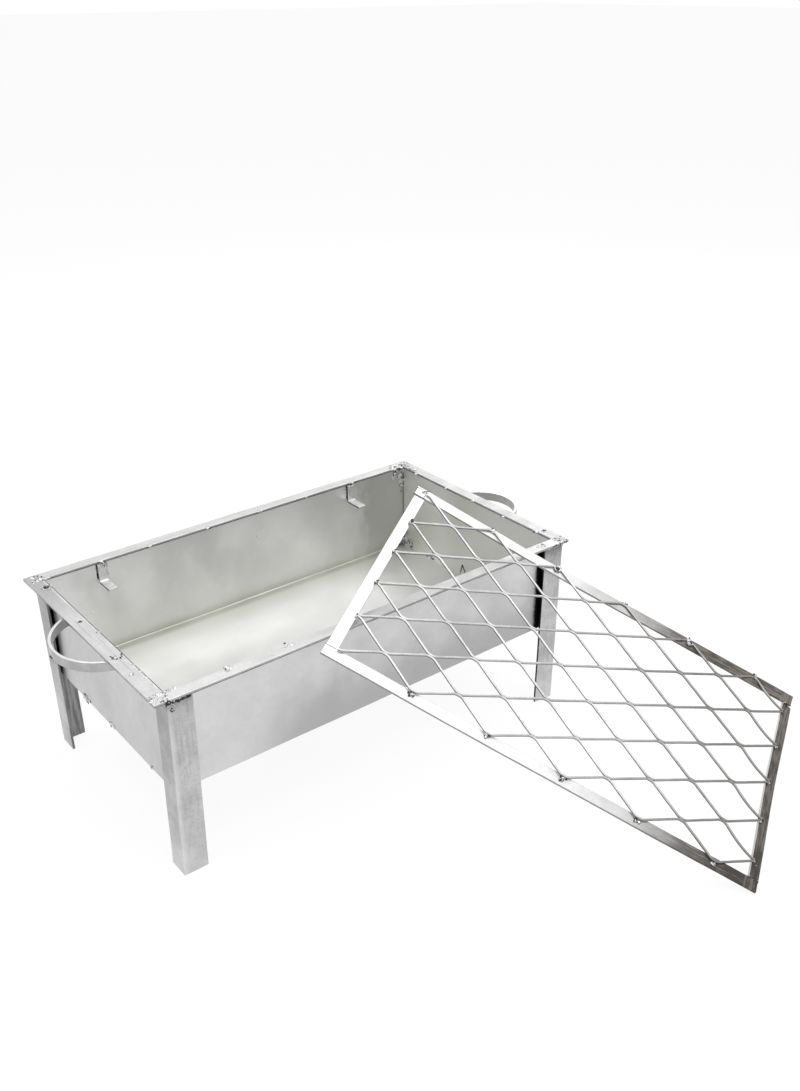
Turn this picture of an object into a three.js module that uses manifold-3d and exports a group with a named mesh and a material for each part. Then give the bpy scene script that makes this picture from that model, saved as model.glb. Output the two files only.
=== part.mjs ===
import * as THREE from 'three';
import { mergeVertices } from 'three/addons/utils/BufferGeometryUtils.js';
import Module from 'manifold-3d';

const wasm = await Module();
wasm.setup();

// A portable charcoal grill of welded galvanised sheet, flat bar and angle iron, in millimetres, +Z up.
// X runs along the fire box from left to right and Y from front to back.
// Its loose cooking grate leans on the front rim, with one corner standing on the ground.

// Fire box and rim
const boxLength = 530;
const boxWidth = 305;
const rimHeight = 216;
const rimWidth = 14;
const rimThickness = 3;
const trayDepth = 115.5;
const sheetThickness = 1.2;
const sheetBendRadius = 1.6;
const leftPlateInset = 16.5;
const rightPlateInset = 12;
const leftPlateDrop = 0.6;
const seatClearance = 0.3;

// Angle-iron legs, each set by eye: the gap left between its flanges and the tray, along the box and across it
const legFlange = 25.4;
const legThickness = 3;
const legRootRadius = 0.9;
const frontLeftGap = { along: 0.3, across: 0.6 };
const frontRightGap = { along: 0.3, across: 6.3 };
const backLeftGap = { along: 2.5, across: 2.8 };
const backRightGap = { along: 0.3, across: 3.8 };
const frontRightTwistDegrees = 5;

// Carrying handles: a flat bar on edge, bowed outwards under the rim
const leftHandle = { radius: 56, reach: 32.5, place: 149.3 };
const rightHandle = { radius: 45, reach: 31.5, place: 137.4 };
const handleBarHeight = 11;
const handleBarThickness = 3;

// Grate hangers: strips that hang on the long walls and turn inwards to carry the grate
const hangerWidth = 11;
const hangerThickness = 2.5;
const hangerDrop = 23.5;
const hangerFoot = 26;
const hangerBendRadius = 2;
const hangerFromLeft = 84;
const hangerFromRight = 101;

// Cooking grate: a frame of flat bar under a sheet of expanded metal
const grateLength = 483;
const grateBarWidth = 12.7;
const grateBarThickness = 3;
const grateJointGap = 0.3;
const meshFloat = 0.3;

// The grate's bars, each set by eye. A long bar has the place of its outer edge across the grate at the upper end,
// a short bar has how far its outer edge stands out from the ends of the long bars, and both have their turn
const nearBar = { place: -1.5, turnDegrees: 0.43 };
const farBar = { place: 260.3, turnDegrees: -0.25 };
const upperBar = { proud: -0.6, turnDegrees: 0.35 };
const lowerBar = { proud: 1.6, rollDegrees: 16 };

// Expanded metal: strands that zigzag along the grate and join their neighbours at the bonds
const strandWidth = 2;
const strandThickness = 1.8;
const strandRise = 0.6;
const bondLength = 7;
const bondOverlap = 0.2;
const meshPitchLong = 42.06;
const meshPitchShort = 24.58;
const meshStartLong = 13.6;
const meshStartShort = 10.2;
const meshTurnDegrees = -0.1;
const meshUpperInset = 13.2;
const meshLowerInset = 9.4;

// The grate's lean: how far its upper left corner passes the rim's front edge, where it crosses it,
// and how far its long side is turned from straight down the slope
const grateOverhang = 13.6;
const grateAlongRim = 172;
const grateTurnDegrees = 32.7;

// Galvanised steel in its different ages and finishes
const sheetSteel = { color: 0xa9aba5, roughness: 0.45, metalness: 0.9 };
const rimSteel = { color: 0xd2d2cf, roughness: 0.4, metalness: 0.9 };
const angleSteel = { color: 0xa4a6a4, roughness: 0.5, metalness: 0.85 };
const grateSteel = { color: 0xbdbbb6, roughness: 0.45, metalness: 0.85 };
const strandSteel = { color: 0xc4c4c0, roughness: 0.4, metalness: 0.9 };

const grill = new THREE.Group();

function addPiece(name, geometry, look, parent = grill) {
    const mesh = new THREE.Mesh(geometry, new THREE.MeshStandardMaterial(look));
    mesh.name = name;
    parent.add(mesh);
    return mesh;
}

// A plan outline raised along Z
function raise(outline, height) {
    return new THREE.ExtrudeGeometry(outline, { depth: height, bevelEnabled: false, curveSegments: 8 });
}

// A side profile, drawn with Y across and Z up, swept along X
function sweepAlongX(profile, length) {
    const geometry = raise(profile, length);
    const toSide = new THREE.Matrix4().makeBasis(
        new THREE.Vector3(0, 1, 0),
        new THREE.Vector3(0, 0, 1),
        new THREE.Vector3(1, 0, 0),
    );
    return geometry.applyMatrix4(toSide);
}

function outlineOf(points) {
    return new THREE.Shape(points.map(([x, y]) => new THREE.Vector2(x, y)));
}

// Sheet-metal tray: front wall, floor and back wall folded from one sheet
function foldedTray() {
    const wallTop = rimHeight - rimThickness;
    const floor = rimHeight - trayDepth;
    const frontOuter = rimWidth - sheetThickness;
    const backOuter = boxWidth - frontOuter;
    const outer = sheetBendRadius + sheetThickness;
    const inner = sheetBendRadius;
    const profile = new THREE.Shape();
    profile.moveTo(frontOuter, wallTop);
    profile.lineTo(frontOuter, floor + outer);
    profile.absarc(frontOuter + outer, floor + outer, outer, Math.PI, 1.5 * Math.PI, false);
    profile.lineTo(backOuter - outer, floor);
    profile.absarc(backOuter - outer, floor + outer, outer, -0.5 * Math.PI, 0, false);
    profile.lineTo(backOuter, wallTop);
    profile.lineTo(backOuter - sheetThickness, wallTop);
    profile.lineTo(backOuter - sheetThickness, floor + outer);
    profile.absarc(backOuter - outer, floor + outer, inner, 0, -0.5 * Math.PI, true);
    profile.lineTo(frontOuter + outer, floor + sheetThickness);
    profile.absarc(frontOuter + outer, floor + outer, inner, 1.5 * Math.PI, Math.PI, true);
    profile.lineTo(frontOuter + sheetThickness, wallTop);
    const tray = sweepAlongX(profile, boxLength - leftPlateInset - rightPlateInset);
    return tray.translate(leftPlateInset, 0, 0);
}

// End plate: stands on the tray's floor between its walls, with its lower corners cut to clear the bends
function endPlate(top) {
    const floorTop = rimHeight - trayDepth + sheetThickness;
    const front = rimWidth;
    const back = boxWidth - rimWidth;
    const corner = sheetBendRadius + seatClearance;
    const profile = new THREE.Shape();
    profile.moveTo(front, top);
    profile.lineTo(front, floorTop + corner);
    profile.lineTo(front + corner, floorTop);
    profile.lineTo(back - corner, floorTop);
    profile.lineTo(back, floorTop + corner);
    profile.lineTo(back, top);
    return sweepAlongX(profile, sheetThickness);
}

// Rim strip: a flat bar with both ends mitred, its outer edge on Y = 0
function rimStrip(length) {
    const outline = outlineOf([
        [0, 0],
        [length, 0],
        [length - rimWidth, rimWidth],
        [rimWidth, rimWidth],
    ]);
    return raise(outline, rimThickness);
}

// Angle-iron leg with its outer corner at the origin and a filleted root
function angleLeg() {
    const outline = new THREE.Shape();
    const root = legThickness + legRootRadius;
    outline.moveTo(0, 0);
    outline.lineTo(legFlange, 0);
    outline.lineTo(legFlange, legThickness);
    outline.lineTo(root, legThickness);
    outline.absarc(root, root, legRootRadius, 1.5 * Math.PI, Math.PI, true);
    outline.lineTo(legThickness, legFlange);
    outline.lineTo(0, legFlange);
    return raise(outline, rimHeight - rimThickness);
}

// Bowed handle, bulging to -X, with its ends cut square to meet the end plate
function bowedHandle({ radius, reach }, plateInset) {
    const centre = radius - reach;
    const outer = radius;
    const inner = radius - handleBarThickness;
    const outerTurn = Math.acos((plateInset - centre) / outer);
    const innerTurn = Math.acos((plateInset - centre) / inner);
    const outline = new THREE.Shape();
    outline.absarc(centre, 0, outer, outerTurn, 2 * Math.PI - outerTurn, false);
    outline.absarc(centre, 0, inner, 2 * Math.PI - innerTurn, innerTurn, true);
    return new THREE.ExtrudeGeometry(outline, { depth: handleBarHeight, bevelEnabled: false, curveSegments: 32 });
}

// Grate hanger for the front wall: it hangs on the wall's inner face and its foot points to +Y
function grateHanger() {
    const bend = hangerBendRadius + hangerThickness;
    const profile = new THREE.Shape();
    profile.moveTo(0, 0);
    profile.lineTo(0, bend - hangerDrop);
    profile.absarc(bend, bend - hangerDrop, bend, Math.PI, 1.5 * Math.PI, false);
    profile.lineTo(hangerFoot, -hangerDrop);
    profile.lineTo(hangerFoot, hangerThickness - hangerDrop);
    profile.lineTo(bend, hangerThickness - hangerDrop);
    profile.absarc(bend, bend - hangerDrop, hangerBendRadius, 1.5 * Math.PI, Math.PI, true);
    profile.lineTo(hangerThickness, 0);
    return sweepAlongX(profile, hangerWidth);
}

// A closed geometry as a solid that can be joined
function toSolid(geometry) {
    const bare = geometry.clone();
    bare.deleteAttribute('normal');
    bare.deleteAttribute('uv');
    const merged = mergeVertices(bare);
    const vertProperties = new Float32Array(merged.attributes.position.array);
    const triVerts = new Uint32Array(merged.index.array);
    return new wasm.Manifold(new wasm.Mesh({ numProp: 3, vertProperties, triVerts }));
}

function toGeometry(solid) {
    const mesh = solid.getMesh();
    const geometry = new THREE.BufferGeometry();
    geometry.setAttribute('position', new THREE.BufferAttribute(new Float32Array(mesh.vertProperties), 3));
    geometry.setIndex(new THREE.BufferAttribute(new Uint32Array(mesh.triVerts), 1));
    geometry.computeVertexNormals();
    return geometry;
}

// The line of one strand, from the near row to the next: it rests on a bond, then slants to the other row.
// Each point holds the place along the grate and the share of the way from the near row to the far one.
function strandLine(row) {
    const half = bondLength / 2;
    const slant = meshPitchLong - bondLength;
    const bendShares = [0.1, 0.9];
    const columns = Math.ceil((grateLength - meshStartLong) / meshPitchLong);
    const points = [];
    for (let column = 0; column <= columns; column += 1) {
        const here = meshStartLong + column * meshPitchLong;
        const high = (column + row) % 2 === 0 ? 0 : 1;
        points.push({ along: here - half / 2, share: high });
        points.push({ along: here + half / 2, share: high });
        bendShares.forEach((share) => {
            const along = here + half + share * slant;
            const way = share < 0.5 ? bendShares[0] : 1 - bendShares[0];
            points.push({ along, share: high === 0 ? way : 1 - way });
        });
    }
    return points;
}

// The part of a line between the sheet's two cut ends
function cutLine(line) {
    const cuts = [meshUpperInset, grateLength - meshLowerInset];
    const inside = line.filter(({ along }) => along > cuts[0] && along < cuts[1]);
    const ends = cuts.map((cut) => {
        const after = line.findIndex(({ along }) => along >= cut);
        const from = line[after - 1];
        const to = line[after];
        const way = (cut - from.along) / (to.along - from.along);
        return { along: cut, share: from.share + way * (to.share - from.share) };
    });
    return [ends[0], ...inside, ends[1]];
}

// One strand: a flat section that follows its line, sloped as the expanding press leaves it
function strandGeometry(row) {
    const near = meshStartShort + row * meshPitchShort + strandWidth / 2 - bondOverlap / 2;
    const travel = meshPitchShort - strandWidth + bondOverlap;
    const slope = strandRise / strandWidth;
    const sectionShares = [
        [-0.5, 0],
        [0.5, 0],
        [0.5, 1],
        [-0.5, 1],
    ];
    const line = cutLine(strandLine(row));
    const centres = line.map(({ along, share }) => new THREE.Vector2(along, near + share * travel));
    const positions = [];
    centres.forEach((centre, index) => {
        const before = centres[Math.max(index - 1, 0)];
        const after = centres[Math.min(index + 1, centres.length - 1)];
        const lean = after.clone().sub(before).normalize();
        const reach = strandWidth / lean.x;
        const level = slope * strandWidth * (0.5 - line[index].share);
        sectionShares.forEach(([across, up]) => {
            const shift = across * reach;
            positions.push(centre.x, centre.y + shift, level + slope * shift + up * strandThickness);
        });
    });
    const sides = sectionShares.length;
    const triangles = [0, 2, 1, 0, 3, 2];
    for (let ring = 0; ring < centres.length - 1; ring += 1) {
        for (let side = 0; side < sides; side += 1) {
            const a = ring * sides + side;
            const b = ring * sides + ((side + 1) % sides);
            triangles.push(a, b, a + sides, b, b + sides, a + sides);
        }
    }
    const end = (centres.length - 1) * sides;
    triangles.push(end, end + 1, end + 2, end, end + 2, end + 3);
    const geometry = new THREE.BufferGeometry();
    geometry.setAttribute('position', new THREE.Float32BufferAttribute(positions, 3));
    geometry.setIndex(triangles);
    return geometry;
}

// Expanded metal sheet: every strand joined to its neighbours at the bonds
function expandedMesh() {
    const rows = Math.round((farBar.place - 2 * meshStartShort) / meshPitchShort);
    let sheet = toSolid(strandGeometry(0));
    for (let row = 1; row < rows; row += 1) {
        sheet = sheet.add(toSolid(strandGeometry(row)));
    }
    return toGeometry(sheet).translate(0, 0, strandRise);
}

function buildFireBox() {
    addPiece('tray_sheet', foldedTray(), sheetSteel);
    // The left plate stands clear inside the rim and rises with it, and the right one ends under the rim
    const left = addPiece('end_plate_left', endPlate(rimHeight - leftPlateDrop), sheetSteel);
    left.position.x = leftPlateInset;
    const right = addPiece('end_plate_right', endPlate(rimHeight - rimThickness), sheetSteel);
    right.position.x = boxLength - rightPlateInset - sheetThickness;
}

function buildRim() {
    const level = rimHeight - rimThickness;
    addPiece('rim_strip_front', rimStrip(boxLength), rimSteel).position.set(0, 0, level);
    const right = addPiece('rim_strip_right', rimStrip(boxWidth), rimSteel);
    right.position.set(boxLength, 0, level);
    right.rotation.z = Math.PI / 2;
    const back = addPiece('rim_strip_back', rimStrip(boxLength), rimSteel);
    back.position.set(boxLength, boxWidth, level);
    back.rotation.z = Math.PI;
    const left = addPiece('rim_strip_left', rimStrip(boxWidth), rimSteel);
    left.position.set(0, boxWidth, level);
    left.rotation.z = -Math.PI / 2;
}

// How far a leg's outer corner stands in from the rim's outer corner
function legInset(gap, plateInset) {
    return {
        along: plateInset - gap.along - legThickness,
        across: rimWidth - sheetThickness - gap.across - legThickness,
    };
}

function buildLegs() {
    const frontLeft = legInset(frontLeftGap, leftPlateInset);
    addPiece('leg_front_left', angleLeg(), angleSteel).position.set(frontLeft.along, frontLeft.across, 0);
    const frontRight = legInset(frontRightGap, rightPlateInset);
    const frontRightLeg = addPiece('leg_front_right', angleLeg(), angleSteel);
    frontRightLeg.position.set(boxLength - frontRight.along, frontRight.across, 0);
    frontRightLeg.rotation.z = Math.PI / 2 - THREE.MathUtils.degToRad(frontRightTwistDegrees);
    const backLeft = legInset(backLeftGap, leftPlateInset);
    const backLeftLeg = addPiece('leg_back_left', angleLeg(), angleSteel);
    backLeftLeg.position.set(backLeft.along, boxWidth - backLeft.across, 0);
    backLeftLeg.rotation.z = -Math.PI / 2;
    const backRight = legInset(backRightGap, rightPlateInset);
    const backRightLeg = addPiece('leg_back_right', angleLeg(), angleSteel);
    backRightLeg.position.set(boxLength - backRight.along, boxWidth - backRight.across, 0);
    backRightLeg.rotation.z = Math.PI;
}

function buildHandles() {
    const level = rimHeight - rimThickness - handleBarHeight;
    const left = addPiece('handle_left', bowedHandle(leftHandle, leftPlateInset), rimSteel);
    left.position.set(0, leftHandle.place, level);
    const right = addPiece('handle_right', bowedHandle(rightHandle, rightPlateInset), rimSteel);
    right.position.set(boxLength, rightHandle.place, level);
    right.rotation.z = Math.PI;
}

function buildHangers() {
    const level = rimHeight - rimThickness;
    const places = {
        left: hangerFromLeft,
        right: boxLength - hangerFromRight,
    };
    Object.entries(places).forEach(([side, middle]) => {
        const front = addPiece(`grate_hanger_front_${side}`, grateHanger(), rimSteel);
        front.position.set(middle - hangerWidth / 2, rimWidth, level);
        const back = addPiece(`grate_hanger_back_${side}`, grateHanger(), rimSteel);
        back.position.set(middle + hangerWidth / 2, boxWidth - rimWidth, level);
        back.rotation.z = Math.PI;
    });
}

function flatBar(length) {
    return raise(outlineOf([[0, 0], [length, 0], [length, grateBarWidth], [0, grateBarWidth]]), grateBarThickness);
}

// Where a long bar's outer edge lies across the grate, at a place along it
function edgeAt(bar, along) {
    return bar.place + along * Math.tan(THREE.MathUtils.degToRad(bar.turnDegrees));
}

// The free length between the long bars for a short bar that reaches down the grate to the given place
function shortSpan(along) {
    const start = edgeAt(nearBar, along) + grateBarWidth + grateJointGap;
    const end = edgeAt(farBar, along) - grateBarWidth - grateJointGap;
    return { start, length: end - start };
}

// The grate in its own frame: X along it, Y across it, Z up through the mesh
function buildGrate(parent) {
    const near = addPiece('grate_long_bar_near', flatBar(grateLength), grateSteel, parent);
    near.position.y = nearBar.place;
    near.rotation.z = THREE.MathUtils.degToRad(nearBar.turnDegrees);
    const farGeometry = flatBar(grateLength).translate(0, -grateBarWidth, 0);
    const far = addPiece('grate_long_bar_far', farGeometry, grateSteel, parent);
    far.position.y = farBar.place;
    far.rotation.z = THREE.MathUtils.degToRad(farBar.turnDegrees);
    const upperSpan = shortSpan(grateBarWidth - upperBar.proud);
    const upper = addPiece('grate_short_bar_upper', flatBar(upperSpan.length), grateSteel, parent);
    upper.position.set(grateBarWidth - upperBar.proud, upperSpan.start, 0);
    upper.rotation.z = Math.PI / 2 - THREE.MathUtils.degToRad(upperBar.turnDegrees);
    // The lower bar is rolled about its inner top edge, so that its outer edge hangs low
    const roll = THREE.MathUtils.degToRad(lowerBar.rollDegrees);
    const lowerSpan = shortSpan(grateLength);
    const lowerGeometry = flatBar(lowerSpan.length).translate(0, -grateBarWidth, -grateBarThickness).rotateX(roll);
    const lower = addPiece('grate_short_bar_lower', lowerGeometry, grateSteel, parent);
    const inner = grateLength + lowerBar.proud - grateBarWidth * Math.cos(roll);
    lower.position.set(inner, lowerSpan.start, grateBarThickness);
    lower.rotation.z = Math.PI / 2;
    const mesh = addPiece('grate_mesh', expandedMesh(), strandSteel, parent);
    mesh.position.z = grateBarThickness + meshFloat;
    mesh.rotation.z = THREE.MathUtils.degToRad(meshTurnDegrees);
}

// The grate rests on the rim's front edge and on its lowest corner
function leanGrate() {
    const turn = THREE.MathUtils.degToRad(grateTurnDegrees);
    const corner = new THREE.Vector2(grateLength, edgeAt(nearBar, grateLength));
    const downSlope = grateOverhang + corner.x * Math.cos(turn) - corner.y * Math.sin(turn);
    const tilt = Math.asin(rimHeight / downSlope);
    const slope = new THREE.Group();
    slope.position.set(0, 0, rimHeight);
    slope.rotation.x = tilt;
    const grate = new THREE.Group();
    grate.position.set(grateAlongRim, -grateOverhang, seatClearance);
    grate.rotation.z = turn - Math.PI / 2;
    buildGrate(grate);
    slope.add(grate);
    grill.add(slope);
}

buildFireBox();
buildRim();
buildLegs();
buildHandles();
buildHangers();
leanGrate();

// The origin is the middle of everything's footprint, on the ground
const extent = new THREE.Box3().setFromObject(grill);
const middle = extent.getCenter(new THREE.Vector3());
grill.position.set(-middle.x, -middle.y, -extent.min.z);

export default grill;
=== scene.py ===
"""Looks of a portable charcoal grill: hand-welded galvanised steel on a pale studio floor."""

import math
import random

import bmesh
import bpy
from mathutils import Matrix, Quaternion, Vector, noise


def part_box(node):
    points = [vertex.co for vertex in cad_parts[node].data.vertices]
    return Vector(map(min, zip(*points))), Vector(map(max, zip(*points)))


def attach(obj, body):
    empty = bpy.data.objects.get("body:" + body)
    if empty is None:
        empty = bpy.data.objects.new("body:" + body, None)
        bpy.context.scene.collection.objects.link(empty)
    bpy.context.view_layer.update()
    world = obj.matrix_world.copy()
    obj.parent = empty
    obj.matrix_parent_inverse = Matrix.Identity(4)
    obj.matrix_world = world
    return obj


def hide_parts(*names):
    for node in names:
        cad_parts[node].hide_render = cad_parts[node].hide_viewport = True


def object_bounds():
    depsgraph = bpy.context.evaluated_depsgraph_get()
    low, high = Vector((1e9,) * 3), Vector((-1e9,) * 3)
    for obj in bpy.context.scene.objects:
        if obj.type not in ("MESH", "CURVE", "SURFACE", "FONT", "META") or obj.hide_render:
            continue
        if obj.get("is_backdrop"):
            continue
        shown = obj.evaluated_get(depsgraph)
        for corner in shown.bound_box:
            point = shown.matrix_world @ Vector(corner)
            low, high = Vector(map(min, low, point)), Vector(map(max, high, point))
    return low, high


MM = 0.001
RIGHTWARD = Vector((1, 0, 0))
BACKWARD = Vector((0, 1, 0))
UPWARD = Vector((0, 0, 1))
LEFTWARD = Vector((-1, 0, 0))
FORWARD = Vector((0, -1, 0))

# Without a seed, the vector noise would differ from run to run
NOISE_SEED = 7
noise.seed_set(NOISE_SEED)

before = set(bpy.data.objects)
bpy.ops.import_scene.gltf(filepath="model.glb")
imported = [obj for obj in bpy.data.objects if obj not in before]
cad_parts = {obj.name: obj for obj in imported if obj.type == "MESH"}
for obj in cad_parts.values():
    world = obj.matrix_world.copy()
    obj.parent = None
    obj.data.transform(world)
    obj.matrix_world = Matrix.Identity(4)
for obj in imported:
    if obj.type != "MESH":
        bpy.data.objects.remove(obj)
cad_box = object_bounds()

# Places are measured from the rim's front left corner on the ground, in millimetres:
# x along the box, y from front to back, z up. So are the lengths in the materials.
rim_low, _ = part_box("rim_strip_left")
_, rim_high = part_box("rim_strip_right")
CORNER = Vector((rim_low.x, rim_low.y, 0))
BOX_LENGTH = (rim_high.x - rim_low.x) / MM
BOX_WIDTH = (rim_high.y - rim_low.y) / MM
RIM_TOP = rim_high.z / MM
RIM_THICKNESS = (rim_high.z - rim_low.z) / MM
RIM_WIDTH = (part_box("rim_strip_left")[1].x - rim_low.x) / MM
BACK_FACE = BOX_WIDTH - RIM_WIDTH
RIGHT_EDGE = BOX_LENGTH - RIM_WIDTH
PLATE_OUTER = (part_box("end_plate_left")[0].x - rim_low.x) / MM
RIGHT_PLATE_INNER = (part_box("end_plate_right")[0].x - rim_low.x) / MM
FLOOR_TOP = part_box("end_plate_left")[0].z / MM
HANGER_WIDTH = 11
HANGER_LEFT = 84
HANGER_INSET_RIGHT = 101

# Camera, placed from the same corner
CAMERA_PLACE = Vector((-337.7, -783.4, 795.7))
CAMERA_TARGET = Vector((509.5, 289.2, 100))
CAMERA_ROLL = math.radians(-0.255)
CAMERA_LENS = 36.787
CAMERA_SENSOR = 36

# Studio, in metres and watts
STAGE_SIZE = 60
STAGE_GAP = 0.0003
LIGHTS = (
    ("overhead_softbox", Vector((0.1, 0, 2.1)), 3.2, 45),
    ("side_softbox", Vector((1.9, 1.2, 1.4)), 1.2, 8),
)

# The grate, with its near bar's place and turn within it, and how close two points are one corner of a bar
GRATE_LENGTH = 483
GRATE_WIDTH = 260.3
GRATE_BAR_WIDTH = 12.7
GRATE_BAR_THICKNESS = 3
NEAR_BAR_PLACE = -1.5
NEAR_BAR_TURN = math.radians(0.43)
SAME_CORNER = 0.1

# Hand work: how far apart bars are cut into rings to be bent, how long the waves in their lines are,
# and how far these swing
RING_SPACING = 9
WAVE_LENGTH = 38
WAVE_SWING = 0.22

# How far each leg that shows leans along the box at its foot and its top, and how much wider its front
# flange is rolled
LEG_LEANS = {"front_left": (0.8, 3, 1.6), "front_right": (0, 2.5, 0), "back_left": (1.2, -1.8, 0)}

# How much further back the left handle's far end reaches than its solid, and the stretch that is drawn out
HANDLE_STRETCH = 3.5
STRETCH_START = 150
STRETCH_LENGTH = 55

# How far each bar of the grate strays from a straight line, sideways, by the place along it
NEAR_BEND = ((0, 0.6), (180, -0.5), (330, -0.2), (483, 0.6))
FAR_BEND = ((0, 2.3), (88, 0.3), (150, -1.2), (230, -1.5), (347, 0), (483, 0.2))
FAR_TWIST = ((150, 0), (306, 4.4), (470, 10.7))
UPPER_BEND = ((0, 0), (130, -0.2), (260, 0))
LOWER_BEND = ((15, 0.6), (130, -0.9), (245, 0.9))

# Slack waves in the tray's thin sheet, fading to its held edges and its top
SLACK_WAVE = 110
SLACK_SWING = 0.9
SLACK_TOP = 40
SLACK_STEEPNESS = 6
ON_WALL_SHARE = 0.02

# Expanded metal
STRAND_WIDTH = 2
STRAND_THICKNESS = 1.8
STRAND_RISE = 0.6
STRAND_OVERLAP = 0.2
STRAND_STEP = 1.5
STRAND_REACH = 0.5
STRAND_WAVE = 9
STRAND_SWING = 0.12
CUT_SHARE = 0.2
BOW_SHARE = 0.16
BOND_LENGTH = 7
BEND_LENGTH = 2.2
PITCH_LONG = 42.06
PITCH_SHORT = 24.58
START_LONG = 13.6
START_SHORT = 10.2
COLUMNS = 11
ROWS = 10
MESH_TURN = math.radians(-0.1)
UPPER_CUT = 13.2
LOWER_CUT = GRATE_LENGTH - 9.4
MESH_BASE = GRATE_BAR_THICKNESS + 0.3


def place(x, y, z):
    """A point given in millimetres from the rim's corner, in the frame's metres."""
    return CORNER + Vector((x, y, z)) * MM


def on_rim(x, y, above=0):
    return place(x, y, RIM_TOP + above)


def on_back_wall(x, z, proud=0):
    return place(x, BACK_FACE - proud, z)


def on_right_plate(y, z, proud=0):
    return place(RIGHT_PLATE_INNER - proud, y, z)


def leg_corners(side):
    """A leg's lowest and highest corner from the rim's corner, in metres."""
    return [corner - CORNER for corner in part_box(f"leg_{side}")]


def grate_frame():
    """The grate's own frame, read from its near bar: corner, long axis, short axis and face normal."""
    corners = []
    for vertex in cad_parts["grate_long_bar_near"].data.vertices:
        if all((vertex.co - other).length > SAME_CORNER * MM for other in corners):
            corners.append(vertex.co.copy())
    lowest = min(corners, key=lambda co: co.z)
    corners.sort(key=lambda co: (co - lowest).length)
    up = (corners[1] - lowest).normalized()
    turn_back = Quaternion(up, -NEAR_BAR_TURN)
    across = turn_back @ (corners[2] - lowest).normalized()
    along = turn_back @ (lowest - corners[4]).normalized()
    return corners[4] - across * NEAR_BAR_PLACE * MM, along, across, up


GRATE_CORNER, GRATE_ALONG, GRATE_ACROSS, GRATE_UP = grate_frame()


def grate_place(along, across, up):
    """A point of the grate, in millimetres along it, across it and above its underside."""
    return GRATE_CORNER + (GRATE_ALONG * along + GRATE_ACROSS * across + GRATE_UP * up) * MM


def mesh_place(along, across, up):
    """A point of the expanded sheet, which is turned a little on its frame."""
    turned_along = along * math.cos(MESH_TURN) - across * math.sin(MESH_TURN)
    turned_across = along * math.sin(MESH_TURN) + across * math.cos(MESH_TURN)
    return grate_place(turned_along, turned_across, up)


# Materials as fields: values and colours that change over a surface


class Field:
    """One output of a node, open to sums and products."""

    def __init__(self, nodes, socket):
        self.nodes = nodes
        self.socket = socket

    def __add__(self, other):
        return self.nodes.math("ADD", self, other)

    def __sub__(self, other):
        return self.nodes.math("SUBTRACT", self, other)

    def __rsub__(self, other):
        return self.nodes.math("SUBTRACT", other, self)

    def __mul__(self, other):
        return self.nodes.math("MULTIPLY", self, other)

    def __abs__(self):
        return self.nodes.math("ABSOLUTE", self, 0)

    def larger(self, other):
        return self.nodes.math("MAXIMUM", self, other)

    def ramp(self, low, high, start=0, end=1):
        """The value's way from low to high, turned smoothly into start to end."""
        ends = {"From Min": low, "From Max": high, "To Min": start, "To Max": end}
        inputs = {"Value": self, **ends}
        return self.nodes.add("MapRange", "Result", inputs, interpolation_type="SMOOTHSTEP")

    def mix(self, first, second):
        """A colour between two, by this share from 0 to 1."""
        inputs = {"Factor": self, "A": first, "B": second}
        return self.nodes.add("Mix", "Result", inputs, data_type="RGBA")


class Nodes:
    """A node tree, with short calls for the nodes used here."""

    def __init__(self, tree):
        self.tree = tree
        tree.nodes.clear()

    def new(self, kind):
        return self.tree.nodes.new("ShaderNode" + kind)

    def feed(self, socket, value):
        if isinstance(value, Field):
            self.tree.links.new(value.socket, socket)
        else:
            socket.default_value = value

    def add(self, kind, output, inputs, **settings):
        """Adds a node and gives back one of its outputs. An input is a number, a colour or a field."""
        node = self.new(kind)
        for key, value in settings.items():
            setattr(node, key, value)
        for key, value in inputs.items():
            self.feed(node.inputs[key], value)
        return Field(self, node.outputs[output])

    def math(self, operation, first, second):
        return self.add("Math", "Value", {0: first, 1: second}, operation=operation)

    def show(self, kind, surface):
        self.feed(self.new(kind).inputs["Surface"], surface)

    def where_seen(self, share, lit, seen):
        """A surface that lights the object as lit, and by a share looks as seen to the camera and metal."""
        path = self.new("LightPath").outputs
        looked_at = Field(self, path["Is Camera Ray"])
        for kind in ("Is Glossy Ray", "Is Transmission Ray"):
            looked_at = looked_at.larger(Field(self, path[kind]))
        return self.add("MixShader", "Shader", {"Fac": looked_at * share, 1: lit, 2: seen})


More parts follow.
